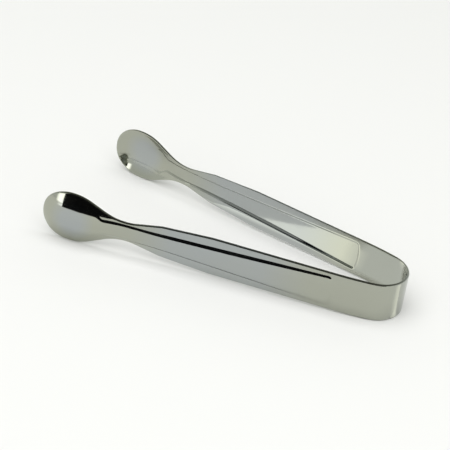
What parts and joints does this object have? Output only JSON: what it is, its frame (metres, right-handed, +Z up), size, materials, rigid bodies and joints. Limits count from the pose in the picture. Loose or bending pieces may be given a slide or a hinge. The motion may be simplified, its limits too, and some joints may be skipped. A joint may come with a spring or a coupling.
{
  "type": "ice tongs",
  "caption": "Spring tongs bent from one stainless steel strip, with ribbed arms and two facing spoon-shaped bowls that close on an ice cube when squeezed.",
  "frame": {"origin": "on the resting surface, under the middle of the tongs' overall box", "axes": "+X towards the bow, with the bowls pointing along -X; Y is the way the arms open, with the left arm on -Y; +Z up, across the strip"},
  "size_m": [0.1774, 0.0808, 0.0272],
  "materials": {
    "steel": "mirror-polished stainless steel with fine handling scratches"
  },
  "bodies": {
    "bow": {"bow_crown": "steel"},
    "left_arm": {"left_shoulder": "steel", "left_shank": "steel", "left_neck": "steel", "left_bowl": "steel"},
    "right_arm": {"right_shoulder": "steel", "right_shank": "steel", "right_neck": "steel", "right_bowl": "steel"}
  },
  "joints": [
    {"name": "left_arm_flex", "type": "hinge", "parent": "bow", "child": "left_arm", "pos_m": [0.07739, -0.01368, 0.0136], "axis": [0, 0, -1], "range_deg": [-3, 12.4], "stiffness_Nm_per_rad": 12},
    {"name": "right_arm_flex", "type": "hinge", "parent": "bow", "child": "right_arm", "pos_m": [0.07739, 0.01368, 0.0136], "axis": [0, 0, 1], "range_deg": [-3, 12.4], "stiffness_Nm_per_rad": 12}
  ],
  "couplings": [
    {"joint": "right_arm_flex", "follows": "left_arm_flex", "ratio": 1}
  ]
}
